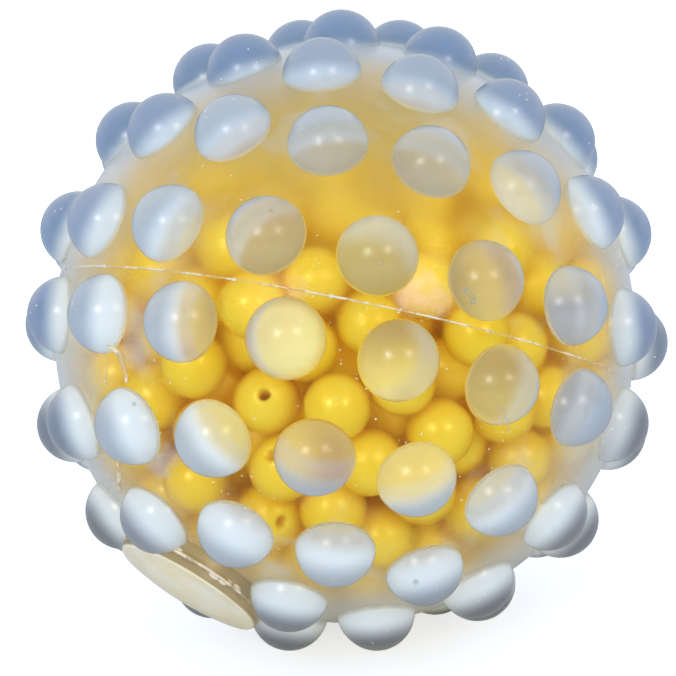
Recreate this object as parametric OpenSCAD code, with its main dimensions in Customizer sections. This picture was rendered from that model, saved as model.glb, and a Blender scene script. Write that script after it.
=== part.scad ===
// Sensory ball for babies: two clear nubby half shells, cemented at the seam,
// hold a loose charge of pearl beads. A cap closes the hole that they were
// poured in through. The ball lies as it comes to rest, with its centre at
// the origin, +Z up and the side with the best view towards -Y.

/* [Shell] */
// Diameter of the skin between the nubs
shell_d = 92; // [84:1:104]
// Thickness of the wall
wall = 1.7; // [1.2:0.1:2.4]

/* [Nubs] */
// Diameter of the ball that a nub is cut from
nub_d = 12.2; // [10:0.1:12.6]
// Height of a nub over the skin
nub_h = 5.25; // [4:0.05:6]
// Height of each row over the seam, in degrees from the ball's centre
row_rises = [9, 30, 50.3, 70]; // [8:0.1:90]
// Number of nubs in each row
row_counts = [17, 16, 12, 6]; // [1:1:17]
// Turn of each row's first nub about the ball's axis
row_turns = [3.05, 10.95, 7.7, 23.5]; // [0:0.05:60]
// How far the last row of the lower half lags behind that of the upper half
last_row_lag = 4; // [0:0.5:8]
// Turn of the lower half against the upper half
halves_turn = 77.2; // [70:0.1:84]

/* [Seam] */
// Diameter of the bead of cement along the seam
cement_d = 1; // [0.8:0.1:1.4]
// How far that bead stands out of the skin
cement_proud = 0.35; // [0.2:0.05:0.5]

/* [Filler cap] */
// Diameter of the cap and of the boss under it
cap_d = 24.2; // [22:0.2:25]
// Height of the middle of the cap over the skin
cap_proud = 3.9; // [3.2:0.1:4.4]
// Thickness of the cap at its rim
cap_rim = 1.8; // [1:0.1:2.2]
// Width of the bevel round the cap's face
cap_bevel = 0.4; // [0.2:0.1:0.6]
// Diameter of the filling hole
port_d = 14; // [12:0.5:16]
// Gap between the cap's spigot and the hole
cap_fit = 0.1; // [0.05:0.05:0.2]
// Height of the cap over the seam, in degrees from the ball's centre
cap_rise = 67.5; // [64:0.5:70]
// Turn of the cap about the ball's axis
cap_turn = 138.7; // [134:0.1:144]

/* [Beads] */
// Diameter of a bead
bead_d = 10; // [9:0.1:12]
// Diameter of the hole through a bead
bead_bore_d = 1.9; // [1:0.1:3]
// Number of beads that are poured in
bead_count = 300; // [200:10:310]
// Gap between beads that lie together
bead_gap = 0.1; // [0.05:0.05:0.2]
// Gap between the beads and the inside of the shell
shell_gap = 0.3; // [0.2:0.05:0.5]
// Number that sets where the beads fall
pour_seed = 6; // [1:1:999]
// Widest angle between a bead's hole and the line from side to side
bore_swing = 90; // [0:5:90]
// Number that sets where the holes point
bore_seed = 8089; // [1:1:9999]
// Turn of the whole charge about the vertical
charge_turn = 358; // [0:1:359]

/* [Pose] */
// Turns about X, Y and Z that lay the ball on its lowest nubs
rest_turns = [-15.46, -22.86, -88.37]; // [-180:0.01:180]

/* [Hidden] */
shell_r = shell_d / 2;
cavity_r = shell_r - wall;
nub_r = nub_d / 2;
nub_centre_r = shell_r + nub_h - nub_r;
cement_r = cement_d / 2;
cement_centre_r = shell_r + cement_proud - cement_r;
cement_fit = 0.05;
cap_r = cap_d / 2;
cap_face_r = shell_r + cap_proud;
cap_edge_z = sqrt(cap_face_r * cap_face_r - cap_r * cap_r);
boss_top_z = cap_edge_z - cap_rim;
port_r = port_d / 2;
half_turn = [180, 0, halves_turn];
shell_fn = 96;
nub_fn = 48;
bead_fn = 48;

// The charge: beads fall one by one, each to the lowest place it finds
bead_r = bead_d / 2;
bead_bore_r = bead_bore_d / 2;
touch_d = bead_d + bead_gap;
reach_r = cavity_r - shell_gap - bead_r;
drop_tries = 8;
roll_steps = 24;
first_roll_share = 0.33;
last_roll_share = 0.004;
headings = 6;
roof_slack = 0.001;
drops = rands(0, 1, 2 * bead_count * drop_tries, pour_seed);
bores = rands(0, 1, 2 * bead_count, bore_seed);

// How the charge is shared out among the nodes
layer_count = 14;
hopper_count = 6;
roller_count = 4;

function layer_name(i) = str("bead_layer_", i < 10 ? "0" : "", i);
function hopper_name(i) = str("hopping_bead_", i);
function roller_name(i) = str("rolling_bead_", i);

// Places on the ball

function on_ball(r, rise, turn) =
    r * [cos(rise) * cos(turn), cos(rise) * sin(turn), sin(rise)];

// Where the nubs of a half stand, as pairs of rise and turn
function nub_places(lag) = concat(
    [[90, 0]],
    [for (row = [0 : len(row_rises) - 1])
        for (i = [0 : row_counts[row] - 1])
            let (late = row == len(row_rises) - 1 ? lag : 0)
            [row_rises[row], row_turns[row] - late + 360 / row_counts[row] * i]]
);

function clear_of_cap(place) =
    norm(on_ball(shell_r, place[0], place[1]) - on_ball(shell_r, cap_rise, cap_turn)) > cap_r;

// The pour. A pile is a list of bead centres.

// Height at which a bead dropped at x, y lands on the shell or on its neighbours
function landing_z(x, y, near) = max([
    -sqrt(max(0, reach_r * reach_r - x * x - y * y)),
    for (p = near)
        let (off = norm([p.x - x, p.y - y]))
        if (off < touch_d) p.z + sqrt(touch_d * touch_d - off * off)
]);

// Whether a bead at p is clear of the roof
function fits(p) = norm(p) <= reach_r + roof_slack;

// The beads of a pile within a width of p, and not far below it
function near_to(p, width, pile) =
    [for (q = pile) if (abs(q.x - p.x) < width && abs(q.y - p.y) < width && q.z > p.z - width) q];

// The lowest of a list of centres
function lowest(list, i = 1, best = 0) =
    i >= len(list) ? list[best] : lowest(list, i + 1, list[i].z < list[best].z ? i : best);

// The places where bead number i might land
function landings(i, pile) = [
    for (k = [0 : drop_tries - 1])
        let (
            n = 2 * (i * drop_tries + k),
            r = reach_r * sqrt(drops[n]),
            x = r * cos(360 * drops[n + 1]),
            y = r * sin(360 * drops[n + 1]),
            z = landing_z(x, y, [for (q = pile) if (norm([q.x - x, q.y - y]) < touch_d) q])
        )
        if (fits([x, y, z])) [x, y, z]
];

// A bead rolls downhill from its start, in ever smaller steps, until it is held
function roll(start, p, near, step, heading, left) =
    left == 0 || step < last_roll_share * bead_d ? p :
    let (moves = [
        for (k = [1 : headings])
            let (
                a = heading + 360 / headings * k,
                x = p.x + step * cos(a),
                y = p.y + step * sin(a)
            )
            if (norm([x, y]) < reach_r && norm([x - start.x, y - start.y]) < touch_d)
                let (z = landing_z(x, y, near))
                if (z < p.z && z > start.z - touch_d && fits([x, y, z])) [x, y, z]
    ])
    len(moves) == 0 ?
        roll(start, p, near, step / 2, heading + 23, left - 1) :
        roll(start, lowest(moves), near, step, heading + 17, left - 1);

function pour(i = 0, pile = []) =
    i == bead_count ? pile :
    let (places = landings(i, pile))
    len(places) == 0 ? pile :
    let (
        start = lowest(places),
        near = near_to(start, 2 * touch_d, pile),
        rest = roll(start, start, near, first_roll_share * touch_d, 360 * drops[i], roll_steps)
    )
    pour(i + 1, concat(pile, [rest]));

pile = [for (p = pour()) [
    p.x * cos(charge_turn) - p.y * sin(charge_turn),
    p.x * sin(charge_turn) + p.y * cos(charge_turn),
    p.z
]];

// Whether another bead lies over bead number i, and the room it has to hop
function covered(i) = len([
    for (p = pile)
        if (p.z > pile[i].z && norm([p.x - pile[i].x, p.y - pile[i].y]) < touch_d) p
]) > 0;
function headroom(p) = sqrt(reach_r * reach_r - p.x * p.x - p.y * p.y) - p.z;

top_beads = [for (i = [0 : len(pile) - 1]) if (!covered(i)) i];

// The numbers of a list of beads, those with the most headroom first
function by_headroom(list) = len(list) == 0 ? [] :
    let (
        most = max([for (i = list) headroom(pile[i])]),
        first = [for (i = list) if (headroom(pile[i]) == most) i],
        others = [for (i = list) if (headroom(pile[i]) < most) i]
    )
    concat(first, by_headroom(others));

free_beads = by_headroom(top_beads);
loose_count = hopper_count + roller_count;
loose_beads = [for (k = [0 : loose_count - 1]) free_beads[k]];
packed_beads = [for (i = [0 : len(pile) - 1]) if (len(search(i, loose_beads)) == 0) i];

// Parts of a half shell

module nub() {
    translate([0, 0, nub_centre_r])
        sphere(r = nub_r, $fn = nub_fn);
}

module at_place(place) {
    rotate([0, 90 - place[0], place[1]])
        children();
}

// One moulding, as it comes off the tool: pole up, seam on the XY plane
module half_moulding(places) {
    difference() {
        union() {
            sphere(r = shell_r, $fn = shell_fn);
            for (place = places)
                at_place(place) nub();
        }
        sphere(r = cavity_r, $fn = shell_fn);
        translate([0, 0, -shell_d])
            cube(2 * shell_d, center = true);
        seam_ring(cement_r + cement_fit);
    }
}

module seam_ring(r) {
    rotate_extrude($fn = shell_fn)
        translate([cement_centre_r, 0])
            circle(r = r, $fn = nub_fn);
}

// A cylinder on the ball's radius, from one height over the centre to another
module disc(r, from_z, to_z) {
    translate([0, 0, from_z])
        cylinder(r = r, h = to_z - from_z, $fn = shell_fn);
}

module in_rest_pose() {
    rotate(rest_turns)
        children();
}

// Parts of the filler

module at_cap() {
    at_place([cap_rise, cap_turn])
        children();
}

module cap_solid() {
    disc(port_r - cap_fit, cavity_r, boss_top_z);
    intersection() {
        disc(cap_r, boss_top_z, cap_face_r);
        sphere(r = cap_face_r, $fn = shell_fn);
        translate([0, 0, boss_top_z])
            cylinder(
                r1 = cap_r + cap_rim - cap_bevel,
                r2 = cap_r - cap_bevel - (cap_face_r - cap_edge_z),
                h = cap_face_r - boss_top_z,
                $fn = shell_fn
            );
    }
}

// Parts of the charge

// Most holes lie near the line from side to side, and a few point anywhere
module bead(i) {
    swing = bore_swing * bores[2 * i] * bores[2 * i];
    translate(pile[i])
        rotate([360 * bores[2 * i + 1], 0, 0])
            rotate([0, 90 + swing, 0])
                difference() {
                    sphere(r = bead_r, $fn = bead_fn);
                    cylinder(r = bead_bore_r, h = 2 * bead_d, center = true, $fn = nub_fn);
                }
}

// The pieces

module shell_upper() {
    color([0.82, 0.87, 0.95, 0.5])
        in_rest_pose()
            half_moulding(nub_places(0));
}

module shell_lower() {
    color([0.82, 0.87, 0.95, 0.5])
        in_rest_pose()
            rotate(half_turn)
                difference() {
                    union() {
                        half_moulding([for (p = nub_places(last_row_lag)) if (clear_of_cap(p)) p]);
                        at_cap() disc(cap_r, cavity_r + wall / 2, boss_top_z);
                    }
                    at_cap() disc(port_r, 0, boss_top_z);
                    at_cap() disc(cap_r + cap_fit, boss_top_z, cap_face_r + nub_h);
                }
}

module seam_cement() {
    color([0.93, 0.9, 0.8])
        in_rest_pose()
            seam_ring(cement_r);
}

module filler_cap() {
    color([0.85, 0.78, 0.6])
        in_rest_pose()
            rotate(half_turn)
                at_cap() cap_solid();
}

// Each layer takes its share of the packed beads, in the order of the pour
module bead_layer(layer) {
    count = len(packed_beads);
    first = floor(count * (layer - 1) / layer_count);
    last = floor(count * layer / layer_count) - 1;
    color([0.88, 0.74, 0.25])
        for (k = [first : last])
            bead(packed_beads[k]);
}

module hopping_bead(k) {
    color([0.92, 0.8, 0.35])
        bead(loose_beads[k - 1]);
}

module rolling_bead(k) {
    color([0.92, 0.8, 0.35])
        bead(loose_beads[hopper_count + k - 1]);
}

shell_upper();
shell_lower();
seam_cement();
filler_cap();
for (i = [1 : layer_count])
    bead_layer(i);
for (i = [1 : hopper_count])
    hopping_bead(i);
for (i = [1 : roller_count])
    rolling_bead(i);
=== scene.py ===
"""Sensory ball: a clear nubby ball in two cemented halves, full of yellow pearl beads."""

import math

import bpy
from mathutils import Euler, Matrix, Vector


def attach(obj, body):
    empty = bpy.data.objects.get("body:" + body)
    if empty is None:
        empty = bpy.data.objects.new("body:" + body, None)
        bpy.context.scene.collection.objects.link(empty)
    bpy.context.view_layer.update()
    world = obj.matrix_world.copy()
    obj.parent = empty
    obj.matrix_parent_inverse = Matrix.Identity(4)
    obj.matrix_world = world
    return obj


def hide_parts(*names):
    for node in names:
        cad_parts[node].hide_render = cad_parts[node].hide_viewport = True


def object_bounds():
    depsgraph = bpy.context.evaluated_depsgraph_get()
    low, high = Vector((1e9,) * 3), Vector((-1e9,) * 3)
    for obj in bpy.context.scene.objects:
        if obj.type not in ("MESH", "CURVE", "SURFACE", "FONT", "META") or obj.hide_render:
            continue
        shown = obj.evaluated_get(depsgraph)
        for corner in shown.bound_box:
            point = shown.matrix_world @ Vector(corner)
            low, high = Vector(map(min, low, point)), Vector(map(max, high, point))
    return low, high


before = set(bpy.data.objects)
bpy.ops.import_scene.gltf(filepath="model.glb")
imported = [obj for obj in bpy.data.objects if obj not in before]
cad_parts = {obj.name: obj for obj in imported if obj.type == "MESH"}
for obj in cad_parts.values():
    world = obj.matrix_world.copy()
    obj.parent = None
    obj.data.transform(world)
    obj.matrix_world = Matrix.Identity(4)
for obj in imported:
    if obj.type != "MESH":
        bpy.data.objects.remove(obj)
cad_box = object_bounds()

MM = 0.001

# Sizes of the ball, as in the CAD model
SHELL_R = 46 * MM
WALL = 1.7 * MM
NUB_R = 6.1 * MM
NUB_H = 5.25 * MM
ROW_RISES = (9, 30, 50.3, 70)
ROW_COUNTS = (17, 16, 12, 6)
ROW_TURNS = (3.05, 10.95, 7.7, 23.5)
LAST_ROW_LAG = 4
HALVES_TURN = 77.2
CAP_R = 12.1 * MM
CAP_PROUD = 3.9 * MM
CAP_RIM = 1.8 * MM
CAP_BEVEL = 0.4 * MM
CAP_FIT = 0.1 * MM
PORT_R = 7 * MM
CAP_RISE = 67.5
CAP_TURN = 138.7
REST_TURNS = (-15.46, -22.86, -88.37)

CAVITY_R = SHELL_R - WALL
NUB_CENTRE_R = SHELL_R + NUB_H - NUB_R
CAP_FACE_R = SHELL_R + CAP_PROUD
CAP_EDGE_Z = math.sqrt(CAP_FACE_R**2 - CAP_R**2)
BOSS_TOP_Z = CAP_EDGE_Z - CAP_RIM

# How finely the meshes are made, and the angles past which their edges stay sharp
SHELL_SEGMENTS = 192
NUB_SEGMENTS = 56
DRUM_SEGMENTS = 96
DOME_STEPS = 12
DRIP_SEGMENTS = 20
DRIP_RINGS = 12
SEAM_SEGMENTS = 960
GLUE_SEGMENTS = 360
TUBE_SIDES = 8
WELD_GAP = 0.002 * MM
SPIN_GAP = 0.001 * MM
SHARP_EDGE = 35
SOFT_EDGE = 60
BEAD_EDGE = 40

# The line of cement round the seam, with its drips and strings. Each wave is the size
# and the depth of the line's lumps
LINE_R = 0.16 * MM
LINE_SINK = 0.05 * MM
LINE_WAVES = ((3 * MM, 0.2 * MM), (0.8 * MM, 0.16 * MM))
DRIP_SHARE = 0.7
DRIP_SINK = 0.1 * MM
STRING_SHARE = 1.3
STRING_LIFT = 0.1 * MM
STRING_ENDS = (0.35, 0.5)

# The glue round the cap: a lumpy ring with crumbs on it, whitish to paint the broken glints along
# the cap's seat
GLUE_R = 0.3 * MM
GLUE_PROUD = 0.05 * MM
GLUE_LUMP = 1.6 * MM
GLUE_DEPTH = 0.4 * MM
GLUE_LIFT = 0.6
GLINT_CRUMBS = 40
GLINT_CRUMB_R = 0.2 * MM
GLINT_CRUMB_STEP = 0.06 * MM
GLINT_CRUMB_SPREAD = 0.45 * MM
GLINT_CRUMB_SHAPE = (0.7, 2.4, 0.8)
GOLDEN_ANGLE = 2.4

# How far the middle of a pit stands off the skin, as a share of its radius
PIT_LIFT = 0.6

# The photograph: where its camera stands, and where the ball lies in its frame
CAMERA_DISTANCE = 11 * SHELL_R
CAMERA_RISE = 17.21
CAMERA_ROLL = 3.7
FOCAL_PX = 3182
FRAME_PX = 676
BALL_PX = (344.9, 332.4)
SENSOR_MM = 36


def turned(angles):
    return Euler([math.radians(a) for a in angles], "XYZ").to_matrix().to_4x4()


REST = turned(REST_TURNS)
LOWER = REST @ turned((180, 0, HALVES_TURN))
SEAM_AXIS = (REST @ Vector((0, 0, 1))).normalized()


def camera_axes():
    """Which way the camera's right, its up and its back point."""
    rise, roll = math.radians(CAMERA_RISE), math.radians(CAMERA_ROLL)
    back = Vector((0, -math.cos(rise), math.sin(rise)))
    level_up = Vector((0, math.sin(rise), math.cos(rise)))
    right = math.cos(roll) * Vector((1, 0, 0)) - math.sin(roll) * level_up
    up = math.sin(roll) * Vector((1, 0, 0)) + math.cos(roll) * level_up
    return right, up, back


RIGHT, UP, BACK = camera_axes()
PER_PX = CAMERA_DISTANCE / FOCAL_PX
AIM = PER_PX * ((FRAME_PX / 2 - BALL_PX[0]) * RIGHT + (BALL_PX[1] - FRAME_PX / 2) * UP)
EYE = AIM + BACK * CAMERA_DISTANCE


def through(px):
    """The way from the camera through a pixel of the photograph."""
    aside, down = px[0] - FRAME_PX / 2, px[1] - FRAME_PX / 2
    return (RIGHT * aside - UP * down - BACK * FOCAL_PX).normalized()


def seen_on(pieces, px):
    """The point of the pieces that shows at a pixel, and the way its surface faces."""
    way = through(px)
    hits = [piece.ray_cast(EYE, way) for piece in pieces]
    hits = [(place, facing) for found, place, facing, _ in hits if found]
    return min(hits, key=lambda hit: (hit[0] - EYE).length)


def at_place(rise, turn):
    """The turn that brings +Z to a place on the ball."""
    return turned((0, 90 - rise, turn))


def on_ball(r, rise, turn):
    return at_place(rise, turn) @ Vector((0, 0, r))


CAP_AXIS = (LOWER @ on_ball(1, CAP_RISE, CAP_TURN)).normalized()


# What clings to the skin, at the pixels of the photograph that show it: drips on
# the seam and strings, with their radius in millimetres
DRIPS = (
    ((105, 262), 0.5), ((128, 267), 0.3), ((185, 276), 0.4), ((232, 289), 0.45), ((270, 291), 0.3),
    ((330, 301), 0.5), ((400, 313), 0.5), ((447, 322), 0.35), ((490, 330), 0.5), ((550, 350), 0.4),
    ((605, 372), 0.4),
)
STRINGS = (
    (((107, 345), (117, 351), (121, 358), (126, 372), (127, 382)), 0.36),
    (((126, 372), (123, 360), (119, 352)), 0.5),
    (((108, 356), (107, 372), (105, 385)), 0.14),
    (((118, 462), (120, 478), (119, 492)), 0.3),
    (((497, 405), (505, 420), (509, 432)), 0.2),
)

# Smears of cement on the skin, at the pixels that show them, with their radius in millimetres
# and how thick they are. Their pink is a painted reflection of the warm lamp
SMEARS_AND_GLARE = (
    ((412, 296), 3.4, 0.5), ((437, 300), 3.0, 0.45), ((425, 280), 2.2, 0.35), ((298, 288), 2.2, 0.2),
)

# Dull grey stains on the nubs, in the same way
STAINS = (
    ((467, 291), 0.9, 0.7), ((473, 301), 0.7, 0.8), ((464, 266), 0.6, 0.5), ((381, 264), 0.8, 0.5),
    ((271, 210), 0.7, 0.45), ((416, 582), 0.6, 0.6), ((134, 404), 0.5, 0.6),
)

# Nubs with a painted glow of a bead close behind them, and nubs with painted shade behind them, in
# the same way
BRIGHT_NUBS = (((283, 338), 9, 0.95),)
DIM_NUBS = (((262, 232), 9, 0.9), ((378, 256), 9, 1.0), ((500, 384), 9, 0.9))

# Pits in the skin, at the pixels that show them, with their radius in millimetres
PITS = (
    ((272, 211), 0.45), ((381, 263), 0.5), ((465, 265), 0.4), ((472, 298), 0.7), ((416, 582), 0.4),
    ((133, 403), 0.3),
)

# Mesh work


def deselect():
    bpy.ops.object.select_all(action="DESELECT")


def activate(piece):
    deselect()
    piece.select_set(True)
    bpy.context.view_layer.objects.active = piece


def apply_place(piece, matrix=None):
    """Puts the piece's place in its mesh."""
    if matrix is not None:
        piece.matrix_world = matrix
    bpy.context.view_layer.update()
    activate(piece)
    bpy.ops.object.transform_apply(location=True, rotation=True, scale=True)
    return piece


def ball(name, r, segments, rings):
    deselect()
    bpy.ops.mesh.primitive_uv_sphere_add(segments=segments, ring_count=rings, radius=r)
    piece = bpy.context.object
    piece.name = name
    return piece


def drum(name, r, low, high, segments=DRUM_SEGMENTS):
    """A cylinder about Z from one height to another."""
    deselect()
    bpy.ops.mesh.primitive_cylinder_add(
        vertices=segments, radius=r, depth=high - low, location=(0, 0, (low + high) / 2)
    )
    piece = bpy.context.object
    piece.name = name
    return apply_place(piece)


def copy_of(piece, name):
    twin = piece.copy()
    twin.data = piece.data.copy()
    twin.name = name
    bpy.context.collection.objects.link(twin)
    return twin


def join(pieces):
    deselect()
    for p in pieces:
        p.select_set(True)
    bpy.context.view_layer.objects.active = pieces[0]
    bpy.ops.object.join()
    return bpy.context.object


def cut(piece, tool, operation):
    """Unites piece with tool, or takes tool from it, and uses the tool up."""
    activate(piece)
    change = piece.modifiers.new("cut", "BOOLEAN")
    change.operation = operation
    change.solver = "MANIFOLD"
    change.object = tool
    bpy.ops.object.modifier_apply(modifier=change.name)
    bpy.data.objects.remove(tool)
    return piece


def smooth(piece, angle=SHARP_EDGE):
    activate(piece)
    bpy.ops.object.shade_smooth_by_angle(angle=math.radians(angle))
    return piece


def lathe(name, profile, segments=DRUM_SEGMENTS):
    """A closed profile of (radius, height) points, spun about Z."""
    mesh = bpy.data.meshes.new(name)
    points = [(r, 0, z) for r, z in profile]
    mesh.from_pydata(points, [(i, i + 1) for i in range(len(points) - 1)], [])
    piece = bpy.data.objects.new(name, mesh)
    bpy.context.collection.objects.link(piece)
    activate(piece)
    bpy.ops.object.mode_set(mode="EDIT")
    bpy.ops.mesh.select_all(action="SELECT")
    bpy.ops.mesh.spin(steps=segments, angle=2 * math.pi, center=(0, 0, 0), axis=(0, 0, 1))
    bpy.ops.mesh.select_all(action="SELECT")
    bpy.ops.mesh.remove_doubles(threshold=SPIN_GAP)
    bpy.ops.mesh.normals_make_consistent(inside=False)
    bpy.ops.object.mode_set(mode="OBJECT")
    return piece


# The half shells


def nub_places(lag):
    """Where the nubs of a half stand, as pairs of rise and turn."""
    places = [(90, 0)]
    for rise, count, start in zip(ROW_RISES, ROW_COUNTS, ROW_TURNS):
        late = lag if rise == ROW_RISES[-1] else 0
        places += [(rise, start - late + 360 / count * i) for i in range(count)]
    return places


def half_moulding(name, places):
    """One moulding as it comes off the tool: pole up, seam on the XY plane."""
    half = ball(name, SHELL_R, SHELL_SEGMENTS, SHELL_SEGMENTS // 2)
    nub = ball("nub", NUB_R, NUB_SEGMENTS, NUB_SEGMENTS // 2)
    nub.location.z = NUB_CENTRE_R
    apply_place(nub)
    nubs = []
    for rise, turn in places:
        nubs.append(apply_place(copy_of(nub, "nub_copy"), at_place(rise, turn)))
    bpy.data.objects.remove(nub)
    cut(half, join(nubs), "UNION")
    return half


def hollow_half(half):
    """Takes out the cavity and all that lies under the seam."""
    cavity = ball("cavity", CAVITY_R, SHELL_SEGMENTS, SHELL_SEGMENTS // 2)
    cut(half, cavity, "DIFFERENCE")
    below = drum("below", 2 * SHELL_R, -2 * SHELL_R, 0)
    return cut(half, below, "DIFFERENCE")


def make_upper():
    half = hollow_half(half_moulding("clear_half_upper", nub_places(0)))
    return smooth(apply_place(half, REST))


def make_lower():
    middle = on_ball(SHELL_R, CAP_RISE, CAP_TURN)
    places = []
    for place in nub_places(LAST_ROW_LAG):
        if (on_ball(SHELL_R, *place) - middle).length > CAP_R:
            places.append(place)
    half = half_moulding("clear_half_lower", places)
    at_cap = at_place(CAP_RISE, CAP_TURN)
    boss = apply_place(drum("boss", CAP_R, CAVITY_R, BOSS_TOP_Z), at_cap)
    cut(half, boss, "UNION")
    seat = apply_place(drum("seat", CAP_R + CAP_FIT, BOSS_TOP_Z, 2 * SHELL_R), at_cap)
    cut(half, seat, "DIFFERENCE")
    hollow_half(half)
    port = apply_place(drum("port", PORT_R, CAVITY_R / 2, 2 * SHELL_R), at_cap)
    cut(half, port, "DIFFERENCE")
    return smooth(apply_place(half, LOWER))


def make_cap():
    face_r = CAP_R - CAP_BEVEL
    dome = [face_r - i * face_r / DOME_STEPS for i in range(DOME_STEPS + 1)]
    profile = [
        (0, CAVITY_R),
        (PORT_R - CAP_FIT, CAVITY_R),
        (PORT_R - CAP_FIT, BOSS_TOP_Z),
        (CAP_R, BOSS_TOP_Z),
        (CAP_R, CAP_EDGE_Z - CAP_BEVEL),
    ]
    profile += [(r, math.sqrt(CAP_FACE_R**2 - r**2)) for r in dome]
    cap = lathe("clear_cap", profile)
    return smooth(apply_place(cap, LOWER @ at_place(CAP_RISE, CAP_TURN)))


def lumpy(piece, size, depth, lift=0.5):
    """Swells and thins a piece by a cloud pattern."""
    lumps = bpy.data.textures.new("lumps", "CLOUDS")
    lumps.noise_scale = size
    change = piece.modifiers.new("lumps", "DISPLACE")
    change.texture = lumps
    change.texture_coords = "GLOBAL"
    change.strength = depth
    change.mid_level = lift
    activate(piece)
    bpy.ops.object.modifier_apply(modifier=change.name)
    return piece


def ring(name, major, minor, segments):
    deselect()
    bpy.ops.mesh.primitive_torus_add(
        major_segments=segments, minor_segments=TUBE_SIDES, major_radius=major, minor_radius=minor
    )
    piece = bpy.context.object
    piece.name = name
    return piece


def blob(place, r, squeeze=(1, 1, 1), turn=None):
    piece = ball("blob", r, DRIP_SEGMENTS, DRIP_RINGS)
    piece.scale = squeeze
    if turn is not None:
        piece.rotation_euler = turn.to_euler()
    piece.location = place
    return apply_place(piece)


def make_cement():
    """The cement squeezed out along the seam: a thin uneven line with drips."""
    line = ring("cement_line", SHELL_R - LINE_SINK, LINE_R, SEAM_SEGMENTS)
    for size, depth in LINE_WAVES:
        lumpy(line, size, depth)
    apply_place(line, REST)
    drips = []
    for px, r in DRIPS:
        place, _ = seen_on(HALVES, px)
        place -= SEAM_AXIS * place.dot(SEAM_AXIS)
        drips.append(blob(place.normalized() * (SHELL_R - DRIP_SINK), DRIP_SHARE * r * MM))
    return smooth(join([line] + drips), SOFT_EDGE)


def tube(name, route, radii):
    """A string of cement along a route, thicker and thinner as its radii say."""
    curve = bpy.data.curves.new(name, "CURVE")
    curve.dimensions = "3D"
    curve.bevel_depth = 1.0
    curve.bevel_resolution = 2
    curve.use_fill_caps = True
    line = curve.splines.new("BEZIER")
    line.bezier_points.add(len(route) - 1)
    for point, place, r in zip(line.bezier_points, route, radii):
        point.co = place
        point.radius = r
        point.handle_left_type = point.handle_right_type = "AUTO"
    piece = bpy.data.objects.new(name, curve)
    bpy.context.collection.objects.link(piece)
    activate(piece)
    bpy.ops.object.convert(target="MESH")
    return smooth(bpy.context.object, SOFT_EDGE)


def make_strings():
    """Stray strings of cement that cling to the skin between the nubs."""
    made = []
    first, last = STRING_ENDS
    for stops, r in STRINGS:
        route = []
        for px in stops:
            place, facing = seen_on(HALVES, px)
            route.append(place + facing * STRING_LIFT)
        shares = [first] + [1.0] * (len(route) - 2) + [last]
        radii = [STRING_SHARE * r * MM * share for share in shares]
        made.append(tube("cement_string", route, radii))
    return made


def cut_pits():
    """Small pits that dust left in the mouldings."""
    tools = ([], [])
    for px, r in PITS:
        place, facing = seen_on(HALVES, px)
        lower = place.dot(SEAM_AXIS) < 0
        tools[lower].append(blob(place + facing * PIT_LIFT * r * MM, r * MM))
    for half, balls in zip(HALVES, tools):
        cut(half, join(balls), "DIFFERENCE")
        smooth(half)


def make_glue_and_glints():
    """The glue that shows round the cap, where it sits on its boss, with crumbs; its whitish cement
    paints the glints there.
    """
    line = ring("glue_and_glints_round_cap", CAP_R + GLUE_PROUD, GLUE_R, GLUE_SEGMENTS)
    line.location.z = BOSS_TOP_Z
    apply_place(line)
    lumpy(line, GLUE_LUMP, GLUE_DEPTH, GLUE_LIFT)
    glint_crumbs = []
    for i in range(GLINT_CRUMBS):
        angle = GOLDEN_ANGLE * i
        r = GLINT_CRUMB_R + GLINT_CRUMB_STEP * (i % 4)
        up = BOSS_TOP_Z + GLINT_CRUMB_SPREAD * (i % 3 - 1)
        place = Vector((CAP_R * math.cos(angle), CAP_R * math.sin(angle), up))
        glint_crumbs.append(blob(place, r, GLINT_CRUMB_SHAPE, Matrix.Rotation(angle, 4, "Z")))
    line = join([line] + glint_crumbs)
    return smooth(apply_place(line, LOWER @ at_place(CAP_RISE, CAP_TURN)), SOFT_EDGE)


# Materials


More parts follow.
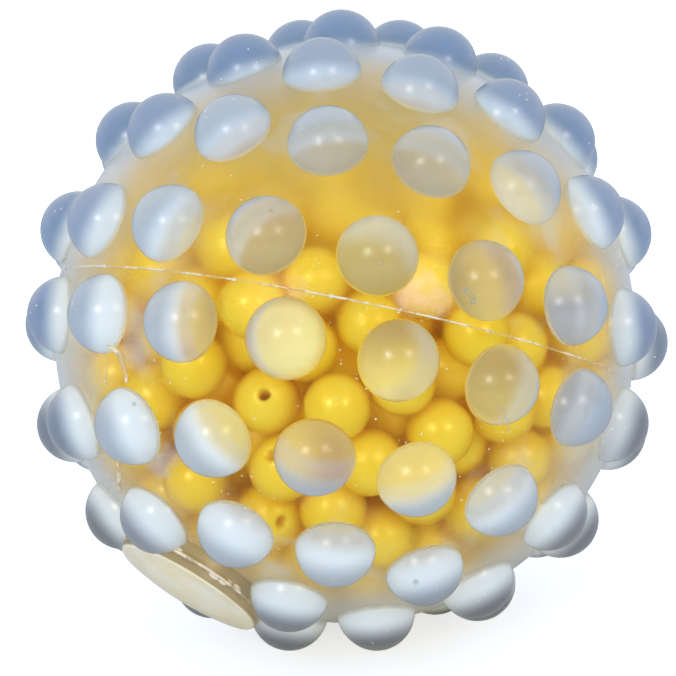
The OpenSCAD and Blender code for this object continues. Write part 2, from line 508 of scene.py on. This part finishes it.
class Nodes:
    """Adds nodes to a tree and links them."""

    def __init__(self, tree):
        self.tree = tree

    def add(self, kind, **values):
        node = self.tree.nodes.new(kind)
        for key, value in values.items():
            setattr(node, key, value)
        return node

    def link(self, source, target):
        self.tree.links.new(source, target)

    def feed(self, socket, value):
        if hasattr(value, "links"):
            self.link(value, socket)
        else:
            socket.default_value = value

    def math(self, operation, a, b=0.0):
        node = self.add("ShaderNodeMath", operation=operation)
        self.feed(node.inputs[0], a)
        self.feed(node.inputs[1], b)
        return node.outputs[0]

    def plus(self, a, b):
        return self.math("ADD", a, b)

    def minus(self, a, b):
        return self.math("SUBTRACT", a, b)

    def times(self, a, b):
        return self.math("MULTIPLY", a, b)

    def most(self, a, b):
        return self.math("MAXIMUM", a, b)

    def vector(self, operation, a, b=None):
        """The node of a sum with vectors. Its outputs are a vector and a value."""
        node = self.add("ShaderNodeVectorMath", operation=operation)
        self.link(a, node.inputs[0])
        if b is not None:
            self.feed(node.inputs[1], b)
        return node.outputs

    def between(self, share, a, b):
        """A number between a and b."""
        node = self.add("ShaderNodeMix", data_type="FLOAT")
        self.feed(node.inputs["Factor"], share)
        self.feed(node.inputs["A"], a)
        self.feed(node.inputs["B"], b)
        return node.outputs["Result"]

    def blend(self, share, a, b):
        """A colour between a and b."""
        node = self.add("ShaderNodeMix", data_type="RGBA")
        self.feed(node.inputs["Factor"], share)
        self.feed(node.inputs["A"], a)
        self.feed(node.inputs["B"], b)
        return node.outputs["Result"]

    def ramp(self, value, low, high):
        """How far a value has gone from low to high, smoothly, from 0 to 1."""
        node = self.add("ShaderNodeMapRange", interpolation_type="SMOOTHSTEP")
        self.feed(node.inputs["Value"], value)
        node.inputs["From Min"].default_value = low
        node.inputs["From Max"].default_value = high
        return node.outputs["Result"]

    def cloud(self, place, size, detail, low, high):
        """A cloudy pattern of so large a grain, from 0 to 1."""
        return self.ramp(self.noise(place, size, detail), low, high)

    def noise(self, place, size, detail):
        node = self.add("ShaderNodeTexNoise")
        node.inputs["Scale"].default_value = 1 / size
        node.inputs["Detail"].default_value = detail
        self.link(place, node.inputs["Vector"])
        return node.outputs["Fac"]


def new_material(name):
    material = bpy.data.materials.new(name)
    material.use_nodes = True
    nodes = Nodes(material.node_tree)
    surface = material.node_tree.nodes["Principled BSDF"]
    output = material.node_tree.nodes["Material Output"]
    return material, nodes, surface, output


def let_light_in(nodes, shader, output, tint, share=1.0):
    """Lets shadow and diffuse rays straight through by a share, so that the inside is lit."""
    path = nodes.add("ShaderNodeLightPath")
    either = nodes.most(path.outputs["Is Shadow Ray"], path.outputs["Is Diffuse Ray"])
    either = nodes.times(either, share)
    clear = nodes.add("ShaderNodeBsdfTransparent")
    clear.inputs["Color"].default_value = tint
    mix = nodes.add("ShaderNodeMixShader")
    nodes.link(either, mix.inputs["Fac"])
    nodes.link(shader, mix.inputs[1])
    nodes.link(clear.outputs["BSDF"], mix.inputs[2])
    nodes.link(mix.outputs["Shader"], output.inputs["Surface"])


def lay_over(nodes, veil, satin, surface, output, tint):
    """Lays a satin veil over a clear surface, and lets the light in."""
    mix = nodes.add("ShaderNodeMixShader")
    nodes.feed(mix.inputs["Fac"], veil)
    nodes.link(surface.outputs["BSDF"], mix.inputs[1])
    nodes.link(satin.outputs["BSDF"], mix.inputs[2])
    let_light_in(nodes, mix.outputs["Shader"], output, tint)


def set_values(surface, **values):
    for key, value in values.items():
        surface.inputs[key.replace("_", " ")].default_value = value


def away(nodes, normal=None):
    """How far a surface turns away from the viewer: 0 face on, 1 edge on."""
    weight = nodes.add("ShaderNodeLayerWeight")
    weight.inputs["Blend"].default_value = 0.5
    if normal is not None:
        nodes.link(normal, weight.inputs["Normal"])
    return weight.outputs["Facing"]


def specks_group():
    """Tiny specks of dust: a mask from the place, their spacing and how many show."""
    tree = bpy.data.node_groups.new("specks", "ShaderNodeTree")
    tree.interface.new_socket("Place", in_out="INPUT", socket_type="NodeSocketVector")
    for number in ("Scale", "Radius", "Share"):
        tree.interface.new_socket(number, in_out="INPUT", socket_type="NodeSocketFloat")
    tree.interface.new_socket("Mask", in_out="OUTPUT", socket_type="NodeSocketFloat")
    nodes = Nodes(tree)
    given = nodes.add("NodeGroupInput")
    result = nodes.add("NodeGroupOutput")
    cells = nodes.add("ShaderNodeTexVoronoi")
    nodes.link(given.outputs["Place"], cells.inputs["Vector"])
    nodes.link(given.outputs["Scale"], cells.inputs["Scale"])
    dot = nodes.math("LESS_THAN", cells.outputs["Distance"], given.outputs["Radius"])
    tone = nodes.add("ShaderNodeSeparateColor")
    nodes.link(cells.outputs["Color"], tone.inputs[0])
    shown = nodes.math("LESS_THAN", tone.outputs[0], given.outputs["Share"])
    nodes.link(nodes.times(dot, shown), result.inputs["Mask"])
    return tree


SPECKS = specks_group()


def specks(nodes, place, spacing, radius, share):
    group = nodes.add("ShaderNodeGroup")
    group.node_tree = SPECKS
    nodes.link(place, group.inputs["Place"])
    group.inputs["Scale"].default_value = 1 / spacing
    group.inputs["Radius"].default_value = radius
    group.inputs["Share"].default_value = share
    return group.outputs["Mask"]


def near(nodes, place, spots):
    """How much a few round spots on the ball cover a place."""
    cover = 0.0
    for px, r, share in spots:
        centre = seen_on(HALVES, px)[0]
        gap = nodes.vector("DISTANCE", place, centre)["Value"]
        spot = nodes.ramp(gap, r * MM, 0.5 * r * MM)
        cover = nodes.most(cover, nodes.times(spot, share))
    return cover


def smeared(nodes, place, spots, grain):
    """How thick something lies that was smeared over the ball in a few spots."""
    streaks = nodes.cloud(place, grain, 3, 0.38, 0.56)
    return nodes.times(near(nodes, place, spots), nodes.between(streaks, 0.45, 1.0))


def off_cap_axis(nodes, place):
    """How far a place lies from the line through the middle of the cap."""
    across = nodes.vector("CROSS_PRODUCT", place, CAP_AXIS)["Vector"]
    return nodes.vector("LENGTH", across)["Value"]


# Colours of the clear vinyl: of what is seen through it, and of the veil that lies on it, which is
# painted with the sky and room it mirrors, the light of the beads behind and the shade at the nubs'
# rims
THROUGH_SKIN = (0.98, 0.86, 0.44, 1)
THROUGH_SKIN_ASIDE = (0.94, 0.76, 0.34, 1)
THROUGH_SKIN_EDGE = (0.88, 0.84, 0.72, 1)
THROUGH_NUB = (0.90, 0.92, 0.95, 1)
THROUGH_BOSS = (0.60, 0.48, 0.26, 1)
INTO_VINYL = (0.98, 0.94, 0.80, 1)
SKIN_GLOSS = (1.0, 0.78, 0.42, 1)
# Milky haze on the skin, blue with a painted reflection of the sky where the skin turns away, bluer
# to the top
SKIN_HAZE_AND_SHEEN = (0.60, 0.68, 0.78, 1)
SKIN_HAZE_AND_SHEEN_TOP = (0.42, 0.54, 0.74, 1)
# Painted amber light of the beads, shining through the milky haze
SKIN_AMBER = (0.78, 0.56, 0.24, 1)
# Pink of the smears: a painted reflection of the warm lamp on a film of cement
SMEAR_AND_GLARE_PINK = (0.80, 0.52, 0.32, 1)
STAIN_GREY = (0.30, 0.38, 0.36, 1)
BOSS_BROWN = (0.30, 0.24, 0.13, 1)
DUST_WHITE = (0.95, 0.93, 0.85, 1)
NUB_YELLOW = (0.95, 0.86, 0.40, 1)
NUB_BRIGHT = (1.0, 0.96, 0.48, 1)
NUB_SHADE = (0.27, 0.22, 0.15, 1)
NUB_SHADE_TOP = (0.55, 0.50, 0.40, 1)
# Painted grey shade for the nubs at the right side
NUB_GREY = (0.34, 0.38, 0.44, 1)
NUB_SKY = (0.76, 0.87, 0.96, 1)
NUB_SKY_TOP = (0.56, 0.70, 0.90, 1)
NUB_SKY_GREY = (0.42, 0.47, 0.55, 1)
# Painted shade at the nubs' rims: blue on the top ones, near black on the lower ones, and a dark
# outline
NUB_EDGE_SHADE = (0.42, 0.52, 0.64, 1)
NUB_RIM_SHADE_TOP = (0.15, 0.26, 0.48, 1)
NUB_RIM_SHADE_LOW = (0.11, 0.13, 0.17, 1)
NUB_OUTLINE_SHADE = (0.15, 0.19, 0.22, 1)

# Colours of the cap, the cement and the beads
CAP_CLEAR = (0.93, 0.84, 0.62, 1)
CAP_CREAM = (1.0, 0.96, 0.80, 1)
CAP_CLOUD = (0.98, 0.88, 0.58, 1)
CAP_SIDE = (0.34, 0.27, 0.15, 1)
CAP_VEIL = 0.8
INTO_CAP = (0.95, 0.92, 0.85, 1)
CEMENT_THIN = (0.84, 0.68, 0.45, 1)
CEMENT_THICK = (0.92, 0.86, 0.72, 1)
PEARL_FACE = (0.92, 0.78, 0.09, 1)
PEARL_CLOUD = (0.95, 0.84, 0.16, 1)
PEARL_EDGE_SHADE = (0.86, 0.56, 0.02, 1)
INTO_PEARL = (1.0, 0.76, 0.14, 1)

# Grains of the clouds, smears and dust, and how deep light goes into a bead
MIST_GRAIN = 9 * MM
AMBER_GRAIN = 13 * MM
SMEAR_GRAIN = 1.6 * MM
STAIN_GRAIN = 0.5 * MM
DUST_GRAIN = 12 * MM
DUST_GAP = 1.1 * MM
CREAM_GRAIN = 5 * MM
CEMENT_GRAIN = 2.5 * MM
PEARL_GRAIN = 6 * MM
PEARL_DEPTH = 3 * MM

# How much veil lies on the nubs, the skin, the boss and the dust; on the nubs and the skin it
# carries painted sky, light and shade
NUB_VEIL = 0.88
SHADE_VEIL = 0.5
PLAIN_VEIL = 0.3
BRIGHT_VEIL = 0.62
GREY_VEIL = 0.6
# Milky haze with painted sky reflection, where the skin turns away and more to the top
HAZE_AND_SHEEN_VEIL = 0.6
HAZE_AND_SHEEN_VEIL_TOP = 0.85
MIST_VEIL = 0.4
BOSS_VEIL = 0.45
DUST_VEIL = 0.8

# How rough the skin and the nubs are, and what frost adds above and below
SKIN_ROUGH = (0.15, 0.25)
NUB_ROUGH = 0.28
FROST_ABOVE = 0.16
FROST_BELOW = 0.14

# How the painted pale sky on the nubs grows along X and Z: to the left and to the foot, as painted
# light from there
DRIFT_X = -0.75 / SHELL_R
DRIFT_Z = -0.28 / SHELL_R

# Where the skin ends and a nub begins, and the sides of the boss and the cap
ON_NUB = (SHELL_R + 0.1 * MM, SHELL_R + 0.9 * MM)
BOSS_SIDE = (CAP_R + 0.08 * MM, CAP_R + 0.02 * MM)
BOSS_FOOT = (SHELL_R - 0.3 * MM, SHELL_R)
CAP_BAND = (CAP_R - 0.3 * MM, CAP_R - 0.05 * MM)

# Where the looks change, the painted shade, grey and sky among them, from where it starts along X or
# Z to where it is full
TOP = (12 * MM, 48 * MM)
FOOT = (15 * MM, -20 * MM)
SHADE_UP = (6 * MM, 16 * MM)
SHADE_RIGHT = (23 * MM, 15 * MM)
SHADE_LEFT = (-24 * MM, -17 * MM)
GREY_TOP = (16 * MM, 12 * MM)
GREY_FOOT = (-20 * MM, -14 * MM)
GREY_LEFT = (25 * MM, 30 * MM)
GREY_RIGHT = (46 * MM, 36 * MM)
DRIFT_FOOT = (-15 * MM, -22 * MM)
FROST_UP = (5 * MM, 32 * MM)
FROST_DOWN = (-8 * MM, -30 * MM)


class Skin:
    """What the vinyl's colours go by: where a point lies, and which way it faces the viewer."""

    def __init__(self, nodes):
        coords = nodes.add("ShaderNodeTexCoord")
        self.place = coords.outputs["Object"]
        reach = nodes.vector("LENGTH", self.place)["Value"]
        self.on_nub = nodes.ramp(reach, *ON_NUB)
        self.off_nub = nodes.minus(1.0, self.on_nub)
        axes = nodes.add("ShaderNodeSeparateXYZ")
        nodes.link(self.place, axes.inputs[0])
        self.x, self.z = axes.outputs["X"], axes.outputs["Z"]
        self.high, self.low = nodes.ramp(self.z, *TOP), nodes.ramp(self.z, *FOOT)
        radial = nodes.vector("NORMALIZE", self.place)["Vector"]
        to_world = nodes.add("ShaderNodeVectorTransform", vector_type="NORMAL")
        to_world.convert_from, to_world.convert_to = "OBJECT", "WORLD"
        nodes.link(radial, to_world.inputs[0])
        self.ball_away = away(nodes, to_world.outputs[0])
        self.own_away = away(nodes)
        along = nodes.vector("DOT_PRODUCT", coords.outputs["Normal"], radial)["Value"]
        self.lean = outward(nodes, along, self.ball_away, self.own_away)
        self.on_boss = on_boss(nodes, self.place, reach)
        self.bright = near(nodes, self.place, BRIGHT_NUBS)
        self.dim = near(nodes, self.place, DIM_NUBS)
        self.shade = nodes.most(shade_behind(nodes, self), self.dim)
        self.grey = grey_behind(nodes, self)
        self.turned_to_sky = turned_to_sky(nodes, self)
        # Smears of cement, pink with a painted reflection of the warm lamp
        self.smear_and_glare = nodes.times(smeared(nodes, self.place, SMEARS_AND_GLARE, SMEAR_GRAIN), self.off_nub)
        self.stain = smeared(nodes, self.place, STAINS, STAIN_GRAIN)
        dust = specks(nodes, self.place, DUST_GAP, 0.13, 0.25)
        self.dust = nodes.times(dust, nodes.cloud(self.place, DUST_GRAIN, 2, 0.45, 0.6))


def outward(nodes, along, ball_away, own_away):
    """How a surface leans in the view: -1 towards the ball's middle, 1 away from it."""
    ball_cos = nodes.minus(1.0, ball_away)
    own_cos = nodes.minus(1.0, own_away)
    # A hair over 1, so that the root is never 0
    ball_sin = nodes.math("SQRT", nodes.minus(1.0001, nodes.times(ball_cos, ball_cos)))
    return nodes.math("DIVIDE", nodes.minus(along, nodes.times(ball_cos, own_cos)), ball_sin)


def on_boss(nodes, place, reach):
    """The side of the boss under the cap."""
    side = nodes.ramp(off_cap_axis(nodes, place), *BOSS_SIDE)
    side = nodes.times(side, nodes.ramp(reach, *BOSS_FOOT))
    to_cap = nodes.vector("DOT_PRODUCT", place, CAP_AXIS)["Value"]
    return nodes.times(side, nodes.math("GREATER_THAN", to_cap, 0))


def shade_behind(nodes, skin):
    """The middle of the upper half, where the air space shows dark behind the nubs."""
    shade = nodes.times(nodes.ramp(skin.z, *SHADE_UP), nodes.ramp(skin.x, *SHADE_RIGHT))
    return nodes.times(shade, nodes.ramp(skin.x, *SHADE_LEFT))


def grey_behind(nodes, skin):
    """The right side at the height of the seam, where the nubs are greyer with painted shade."""
    grey = nodes.times(nodes.ramp(skin.z, *GREY_TOP), nodes.ramp(skin.x, *GREY_LEFT))
    grey = nodes.times(grey, nodes.ramp(skin.x, *GREY_RIGHT))
    return nodes.times(grey, nodes.ramp(skin.z, *GREY_FOOT))


def turned_to_sky(nodes, skin):
    """How far a nub has turned from what lies behind it to the painted reflection of the pale sky.
    """
    drift = nodes.times(skin.x, DRIFT_X)
    drift = nodes.plus(drift, nodes.times(skin.z, DRIFT_Z))
    drift = nodes.times(drift, nodes.ramp(skin.ball_away, 0.8, 0.3))
    drift = nodes.between(nodes.ramp(skin.z, *DRIFT_FOOT), drift, nodes.most(drift, 0.0))
    turn = nodes.plus(skin.lean, nodes.times(skin.ball_away, 2.4))
    turn = nodes.plus(nodes.plus(turn, drift), 0.08)
    turn = nodes.minus(turn, nodes.times(skin.bright, 0.6))
    return nodes.minus(turn, nodes.times(skin.dim, 0.22))


def nub_veil(nodes, skin):
    veil = nodes.times(nodes.ramp(skin.turned_to_sky, 0.42, 1.3), NUB_VEIL)
    veil = nodes.times(veil, nodes.ramp(skin.ball_away, 0.05, 0.16))
    veil = nodes.most(veil, nodes.between(skin.shade, PLAIN_VEIL, SHADE_VEIL))
    veil = nodes.most(veil, nodes.times(skin.bright, BRIGHT_VEIL))
    return nodes.most(veil, nodes.times(skin.grey, GREY_VEIL))


def skin_veil(nodes, skin):
    # Milky haze with a painted sky reflection, thicker where the skin turns away
    haze_and_sheen = nodes.between(skin.high, HAZE_AND_SHEEN_VEIL, HAZE_AND_SHEEN_VEIL_TOP)
    haze_and_sheen = nodes.times(nodes.ramp(skin.ball_away, 0.3, 0.85), haze_and_sheen)
    mist = nodes.times(nodes.cloud(skin.place, MIST_GRAIN, 3, 0.45, 0.7), MIST_VEIL)
    return nodes.most(haze_and_sheen, nodes.times(mist, nodes.ramp(skin.ball_away, 0.1, 0.35)))


def whole_veil(nodes, skin):
    """How much of the surface is satin and not clear."""
    on_skin = nodes.times(skin.off_nub, skin_veil(nodes, skin))
    veil = nodes.plus(nodes.times(skin.on_nub, nub_veil(nodes, skin)), on_skin)
    veil = nodes.between(skin.on_boss, veil, BOSS_VEIL)
    veil = nodes.most(veil, nodes.most(skin.smear_and_glare, skin.stain))
    return nodes.most(veil, nodes.times(skin.dust, DUST_VEIL))


def through_colour(nodes, skin):
    """The colour that the clear vinyl gives to what is seen through it."""
    tint = nodes.blend(nodes.ramp(skin.ball_away, 0.15, 0.6), THROUGH_SKIN, THROUGH_SKIN_ASIDE)
    tint = nodes.blend(nodes.ramp(skin.ball_away, 0.6, 0.9), tint, THROUGH_SKIN_EDGE)
    tint = nodes.blend(skin.on_nub, tint, THROUGH_NUB)
    return nodes.blend(skin.on_boss, tint, THROUGH_BOSS)


def roughness(nodes, skin):
    """Patchy on the skin, even on the nubs, more frosted to the top and the foot."""
    patchy = nodes.between(nodes.cloud(skin.place, MIST_GRAIN, 1, 0.35, 0.65), *SKIN_ROUGH)
    above = nodes.times(nodes.ramp(skin.z, *FROST_UP), FROST_ABOVE)
    below = nodes.times(nodes.ramp(skin.z, *FROST_DOWN), FROST_BELOW)
    return nodes.plus(nodes.between(skin.on_nub, patchy, NUB_ROUGH), nodes.plus(above, below))


def nub_colour(nodes, skin):
    """Painted light on the nubs: from what lies behind the nub, over a painted reflection of the
    sky, to a painted dark rim.
    """
    shade = nodes.blend(skin.high, NUB_SHADE, NUB_SHADE_TOP)
    facing = nodes.blend(skin.shade, NUB_YELLOW, shade)
    facing = nodes.blend(skin.grey, facing, NUB_GREY)
    facing = nodes.blend(skin.bright, facing, NUB_BRIGHT)
    sky = nodes.blend(skin.high, NUB_SKY, NUB_SKY_TOP)
    sky = nodes.blend(nodes.times(skin.grey, 0.85), sky, NUB_SKY_GREY)
    colour = nodes.blend(nodes.ramp(skin.turned_to_sky, 0.3, 0.7), facing, sky)
    # Painted shade at the rim, where the nub leans away from the ball's middle
    rim_shade = nodes.blend(skin.low, NUB_RIM_SHADE_TOP, NUB_RIM_SHADE_LOW)
    edge = nodes.blend(nodes.ramp(skin.ball_away, 0.3, 0.75), NUB_EDGE_SHADE, rim_shade)
    shaded = nodes.plus(skin.lean, nodes.times(nodes.minus(skin.high, skin.low), 0.15))
    top_edge_shade = nodes.times(skin.high, nodes.ramp(skin.ball_away, 0.45, 0.8))
    shaded = nodes.plus(shaded, nodes.times(top_edge_shade, 0.2))
    shaded = nodes.minus(shaded, nodes.times(skin.bright, 0.5))
    colour = nodes.blend(nodes.ramp(shaded, 0.15, 0.7), colour, edge)
    return nodes.blend(nodes.ramp(skin.own_away, 0.72, 1.0), colour, NUB_OUTLINE_SHADE)


def skin_colour(nodes, skin):
    """Milky haze, blue with a painted sky reflection, with clouds of painted amber light where the
    beads shine through, and smears of cement, pink with a painted reflection of the warm lamp.
    """
    # Clouds of painted amber light where the beads shine through
    amber = nodes.cloud(skin.place, AMBER_GRAIN, 2, 0.42, 0.58)
    amber = nodes.times(amber, nodes.ramp(skin.ball_away, 0.75, 0.45))
    amber = nodes.times(amber, nodes.between(skin.high, 1.0, 0.4))
    haze_and_sheen = nodes.blend(skin.high, SKIN_HAZE_AND_SHEEN, SKIN_HAZE_AND_SHEEN_TOP)
    colour = nodes.blend(amber, haze_and_sheen, SKIN_AMBER)
    return nodes.blend(nodes.ramp(skin.smear_and_glare, 0.02, 0.2), colour, SMEAR_AND_GLARE_PINK)


def clear_vinyl():
    """Satin vinyl: clear where it faces the viewer, with a veil of painted pale blue sky reflection
    where it turns away, and painted light and shade on the nubs.
    """
    material, nodes, surface, output = new_material("clear vinyl")
    skin = Skin(nodes)
    nodes.link(through_colour(nodes, skin), surface.inputs["Base Color"])
    nodes.link(roughness(nodes, skin), surface.inputs["Roughness"])
    nodes.link(skin.on_nub, surface.inputs["Coat Weight"])
    set_values(surface, Transmission_Weight=1.0, IOR=1.35, Coat_Roughness=0.3)
    set_values(surface, Specular_Tint=SKIN_GLOSS)
    colour = nodes.blend(skin.on_nub, skin_colour(nodes, skin), nub_colour(nodes, skin))
    colour = nodes.blend(skin.stain, colour, STAIN_GREY)
    colour = nodes.blend(skin.on_boss, colour, BOSS_BROWN)
    colour = nodes.blend(skin.dust, colour, DUST_WHITE)
    satin = nodes.add("ShaderNodeBsdfPrincipled")
    nodes.link(colour, satin.inputs["Base Color"])
    set_values(satin, Roughness=0.4, IOR=1.5, Coat_Weight=0.6, Coat_Roughness=0.2)
    lay_over(nodes, whole_veil(nodes, skin), satin, surface, output, INTO_VINYL)
    return material


def clear_cap():
    """The cap: the same vinyl, clouded cream by its cement."""
    material, nodes, surface, output = new_material("clear cap")
    place = nodes.add("ShaderNodeTexCoord").outputs["Object"]
    set_values(surface, Base_Color=CAP_CLEAR, Roughness=0.12, Transmission_Weight=1.0, IOR=1.4)
    cream = nodes.blend(nodes.cloud(place, CREAM_GRAIN, 3, 0.35, 0.7), CAP_CREAM, CAP_CLOUD)
    on_side = nodes.ramp(off_cap_axis(nodes, place), *CAP_BAND)
    satin = nodes.add("ShaderNodeBsdfPrincipled")
    nodes.link(nodes.blend(on_side, cream, CAP_SIDE), satin.inputs["Base Color"])
    set_values(satin, Roughness=0.3, IOR=1.5)
    lay_over(nodes, CAP_VEIL, satin, surface, output, INTO_CAP)
    return material


def cement():
    """Dried cement: whiter and more solid in patches."""
    material, nodes, surface, output = new_material("dried cement")
    place = nodes.add("ShaderNodeTexCoord").outputs["Object"]
    patch = nodes.cloud(place, CEMENT_GRAIN, 2, 0.42, 0.6)
    nodes.link(nodes.blend(patch, CEMENT_THIN, CEMENT_THICK), surface.inputs["Base Color"])
    nodes.link(nodes.plus(nodes.times(patch, 0.6), 0.25), surface.inputs["Alpha"])
    set_values(surface, Roughness=0.12, IOR=1.5, Coat_Weight=1.0, Coat_Roughness=0.08)
    return material


def pearl():
    """Pearl yellow: a soft silky gloss over a slightly clouded yellow, with painted shade in deeper
    amber towards the edges.
    """
    material, nodes, surface, output = new_material("yellow pearl")
    place = nodes.add("ShaderNodeTexCoord").outputs["Object"]
    face = nodes.blend(nodes.cloud(place, PEARL_GRAIN, 2, 0.3, 0.7), PEARL_FACE, PEARL_CLOUD)
    # Painted shade: deeper amber where the bead turns away
    edge = nodes.ramp(away(nodes), 0.25, 0.95)
    nodes.link(nodes.blend(edge, face, PEARL_EDGE_SHADE), surface.inputs["Base Color"])
    set_values(surface, Roughness=0.36, Coat_Weight=1.0, Coat_Roughness=0.22)
    set_values(surface, Subsurface_Weight=0.5, Subsurface_Scale=PEARL_DEPTH)
    set_values(surface, Subsurface_Radius=(1.0, 0.6, 0.1))
    let_light_in(nodes, surface.outputs["BSDF"], output, INTO_PEARL, 0.62)
    return material


# The pieces in place

HALVES = (make_upper(), make_lower())
cut_pits()
VINYL = clear_vinyl()
CAP_VINYL = clear_cap()
CEMENT = cement()
PEARL = pearl()


def add(piece, material):
    piece.data.materials.clear()
    piece.data.materials.append(material)
    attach(piece, "shell")


def dress(piece, material, node):
    add(piece, material)
    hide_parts(node)


dress(HALVES[0], VINYL, "shell_upper")
dress(HALVES[1], VINYL, "shell_lower")
dress(make_cap(), CAP_VINYL, "filler_cap")
dress(make_cement(), CEMENT, "seam_cement")
add(make_glue_and_glints(), CEMENT)
for string in make_strings():
    add(string, CEMENT)

for name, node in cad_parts.items():
    if "bead" in name:
        node.data.materials.clear()
        node.data.materials.append(PEARL)
        weld = node.modifiers.new("weld", "WELD")
        weld.merge_threshold = WELD_GAP
        smooth(node, BEAD_EDGE)

# The studio

FLOOR_SIZE = 6
FLOOR_WHITE = (0.80, 0.89, 1.0, 1)
FLOOR_IN_GLASS = (0.66, 0.76, 0.92, 1)
FLOOR_GLOW = (0.78, 0.86, 1, 1)
FLOOR_GLOW_POWER = 0.6
WORLD_WHITE = (1, 1, 1, 1)
WORLD_LIGHT = (0.76, 0.76, 0.76, 1)
WORLD_ROOM = (0.09, 0.15, 0.30, 1)
ROOM_ENDS = (-0.3, 0.5)
LAMP_REACH = 0.9
LAMP_SIZE = 0.2
LAMP_UP = 13
WARM = (1.0, 0.90, 0.84)
WHITE = (1, 1, 1)
NEAREST = 0.01
FARTHEST = 20


def make_floor():
    deselect()
    bpy.ops.mesh.primitive_plane_add(size=FLOOR_SIZE, location=(0, 0, cad_box[0].z))
    floor = bpy.context.object
    floor.name = "floor"
    material, nodes, surface, output = new_material("white floor")
    set_values(surface, Roughness=0.9, Specular_IOR_Level=0.1)
    path = nodes.add("ShaderNodeLightPath")
    in_glass = nodes.most(path.outputs["Is Transmission Ray"], path.outputs["Is Glossy Ray"])
    paper = nodes.blend(in_glass, FLOOR_WHITE, FLOOR_IN_GLASS)
    nodes.link(paper, surface.inputs["Base Color"])
    glow = nodes.times(path.outputs["Is Camera Ray"], FLOOR_GLOW_POWER)
    set_values(surface, Emission_Color=FLOOR_GLOW)
    nodes.link(glow, surface.inputs["Emission Strength"])
    floor.data.materials.append(material)


def softbox(name, aside, power, colour):
    """A square lamp over the camera, so many degrees to its right."""
    across, rise = math.radians(aside), math.radians(CAMERA_RISE + LAMP_UP)
    level = math.cos(rise)
    place = Vector((math.sin(across) * level, -math.cos(across) * level, math.sin(rise)))
    deselect()
    bpy.ops.object.light_add(type="AREA", location=place * LAMP_REACH)
    lamp = bpy.context.object
    lamp.name = name
    lamp.data.shape = "SQUARE"
    lamp.data.size = LAMP_SIZE
    lamp.data.energy = power
    lamp.data.color = colour
    lamp.rotation_euler = place.to_track_quat("Z", "Y").to_euler()


def make_world():
    """White to the camera and grey for plain light. Gloss and glass see white behind the
    ball, and a dark blue room behind the camera."""
    world = bpy.data.worlds.new("studio")
    bpy.context.scene.world = world
    world.use_nodes = True
    nodes = Nodes(world.node_tree)
    background = world.node_tree.nodes["Background"]
    heading = nodes.add("ShaderNodeTexCoord").outputs["Generated"]
    split = nodes.add("ShaderNodeSeparateXYZ")
    nodes.link(heading, split.inputs[0])
    behind = nodes.ramp(split.outputs["Y"], *ROOM_ENDS)
    studio = nodes.blend(behind, WORLD_ROOM, WORLD_WHITE)
    path = nodes.add("ShaderNodeLightPath")
    plain = nodes.blend(path.outputs["Is Diffuse Ray"], studio, WORLD_LIGHT)
    seen = nodes.blend(path.outputs["Is Camera Ray"], plain, WORLD_WHITE)
    nodes.link(seen, background.inputs["Color"])


def make_camera():
    deselect()
    bpy.ops.object.camera_add()
    camera = bpy.context.object
    turn = Matrix((RIGHT, UP, BACK)).transposed().to_4x4()
    camera.matrix_world = Matrix.Translation(EYE) @ turn
    camera.data.sensor_width = SENSOR_MM
    camera.data.lens = FOCAL_PX / FRAME_PX * SENSOR_MM
    camera.data.clip_start = NEAREST
    camera.data.clip_end = FARTHEST
    bpy.context.scene.camera = camera


make_floor()
make_world()
make_camera()
softbox("left", -28, 1.6, WHITE)
softbox("right", 34, 1.2, WARM)
bpy.context.scene.view_settings.view_transform = "Standard"
